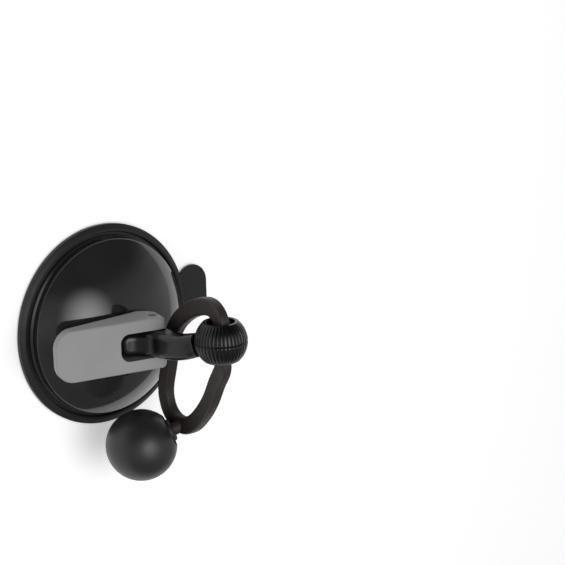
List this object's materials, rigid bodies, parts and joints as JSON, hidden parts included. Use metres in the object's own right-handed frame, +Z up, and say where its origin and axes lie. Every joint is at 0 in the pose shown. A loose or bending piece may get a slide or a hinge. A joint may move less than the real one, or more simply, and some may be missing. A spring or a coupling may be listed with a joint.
{
  "type": "vacuum cup strap holder",
  "caption": "Wall vacuum cup with a cam lever, a curved arm, and a ribbed guide bead that carries a rubber strap loop with a ball.",
  "frame": {"origin": "centre of the rubber pad's sealing rim, on the wall", "axes": "+Y into the wall along the cup's axis, so the cup stands out along -Y; +Z up; the locked lever points towards -X"},
  "size_m": [0.1035, 0.0862, 0.108],
  "materials": {
    "pad_rubber": "satin",
    "dome_gloss": "gloss",
    "inner_black": "matte",
    "lever_grey": "satin",
    "arm_black": "gloss",
    "bead_black": "gloss",
    "steel": "satin",
    "dark_steel": "satin",
    "strap_rubber": "matte",
    "ball_black": "satin",
    "brass": "satin"
  },
  "bodies": {
    "cup": {"suction_pad": "pad_rubber", "support_frame": "inner_black", "frame_screws": "steel", "dome_shell": "dome_gloss", "plunger_bush": "inner_black", "cam_washer": "inner_black", "return_spring": "steel"},
    "plunger": {"core_plate": "inner_black", "plunger": "steel", "plunger_clip": "steel", "arm": "arm_black", "bead_upper": "bead_black", "bead_lower": "bead_black", "ear_washers": "steel", "pivot_pin": "dark_steel"},
    "lever": {"cam_lever": "lever_grey"},
    "loop": {"bead_liner": "arm_black", "strap_band": "strap_rubber", "tail_ferrule": "brass"},
    "ball": {"ball": "ball_black"}
  },
  "joints": [
    {"name": "plunger_slide", "type": "slide", "parent": "cup", "child": "plunger", "axis": [0, 1, 0], "range_m": [0, 0.0027], "deforming": ["suction_pad", "return_spring"]},
    {"name": "lever_pivot", "type": "hinge", "parent": "plunger", "child": "lever", "pos_m": [0, -0.037, 0], "axis": [0, 0, 1], "range_deg": [0, 62]},
    {"name": "loop_turn", "type": "hinge", "parent": "plunger", "child": "loop", "pos_m": [0.0065, -0.075, 0.0063], "axis": [0, 0, 1], "range_deg": [-170, 2]},
    {"name": "ball_spin", "type": "hinge", "parent": "loop", "child": "ball", "pos_m": [-0.00563, -0.0322, -0.04738], "axis": [-0.7676, 0.4977, -0.4038], "continuous": true}
  ],
  "couplings": [
    {"joint": "plunger_slide", "follows": "lever_pivot", "m_per_rad": 0.0023}
  ]
}
